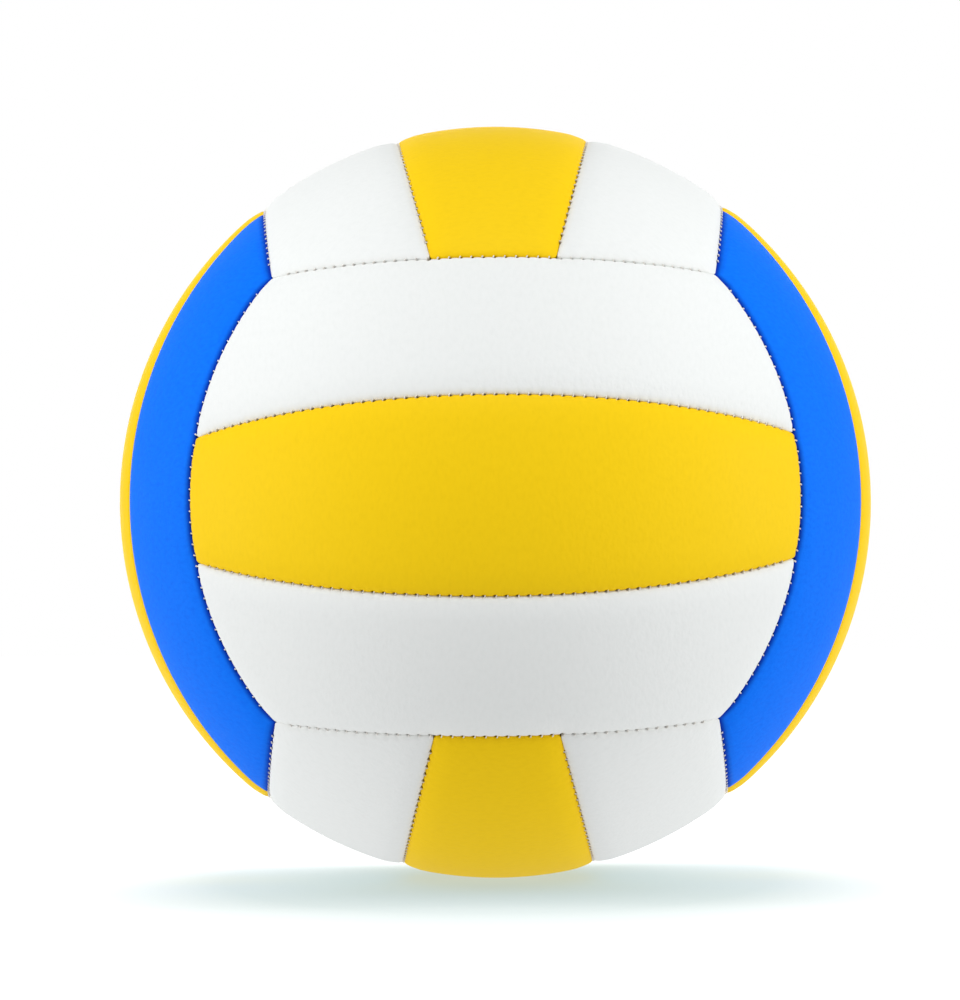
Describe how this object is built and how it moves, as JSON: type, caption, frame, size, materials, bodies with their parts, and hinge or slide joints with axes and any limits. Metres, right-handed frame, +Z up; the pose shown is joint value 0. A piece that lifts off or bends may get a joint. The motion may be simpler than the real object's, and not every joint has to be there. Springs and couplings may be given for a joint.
{
  "type": "volleyball",
  "caption": "Round sewn ball of curved leather strips in white, yellow and blue over foam and an inflated bladder, with a needle valve, for hitting by hand over a net.",
  "frame": {"origin": "the centre of the ball", "axes": "+Z up, -Y towards the viewer through the middle of the front face, +Y out through the valve at the middle of the back face"},
  "size_m": [0.21, 0.2099, 0.21],
  "materials": {
    "leather_white": "satin coated leather, white, fine grain",
    "leather_yellow": "satin coated leather, yellow, fine grain",
    "leather_blue": "satin coated leather, blue, fine grain",
    "foam": "cloth-faced soft foam, off-white",
    "thread": "twisted sewing thread, off-white",
    "bladder_rubber": "matt black rubber",
    "patch_cloth": "woven cloth, natural",
    "valve_rubber": "satin black rubber",
    "plug_rubber": "satin dark grey rubber"
  },
  "bodies": {
    "ball": {"panel_front_upper": "leather_white", "foam_front_upper": "foam", "panel_front_middle": "leather_yellow", "foam_front_middle": "foam", "panel_front_lower": "leather_white", "foam_front_lower": "foam", "seam_thread_front": "thread", "panel_back_upper": "leather_white", "foam_back_upper": "foam", "panel_back_middle": "leather_yellow", "foam_back_middle": "foam", "panel_back_lower": "leather_white", "foam_back_lower": "foam", "seam_thread_back": "thread", "panel_left_rear": "leather_blue", "foam_left_rear": "foam", "panel_left_middle": "leather_yellow", "foam_left_middle": "foam", "panel_left_front": "leather_blue", "foam_left_front": "foam", "seam_thread_left": "thread", "panel_right_rear": "leather_blue", "foam_right_rear": "foam", "panel_right_middle": "leather_yellow", "foam_right_middle": "foam", "panel_right_front": "leather_blue", "foam_right_front": "foam", "seam_thread_right": "thread", "panel_top_right": "leather_white", "foam_top_right": "foam", "panel_top_middle": "leather_yellow", "foam_top_middle": "foam", "panel_top_left": "leather_white", "foam_top_left": "foam", "seam_thread_top": "thread", "panel_bottom_right": "leather_white", "foam_bottom_right": "foam", "panel_bottom_middle": "leather_yellow", "foam_bottom_middle": "foam", "panel_bottom_left": "leather_white", "foam_bottom_left": "foam", "seam_thread_bottom": "thread", "bladder": "bladder_rubber", "valve_patch": "patch_cloth", "valve_housing": "valve_rubber"},
    "plug": {"valve_plug": "plug_rubber"}
  },
  "joints": [
    {"name": "valve_plug_pull", "type": "slide", "parent": "ball", "child": "plug", "axis": [0, 1, 0], "range_m": [0, 0.022]}
  ]
}
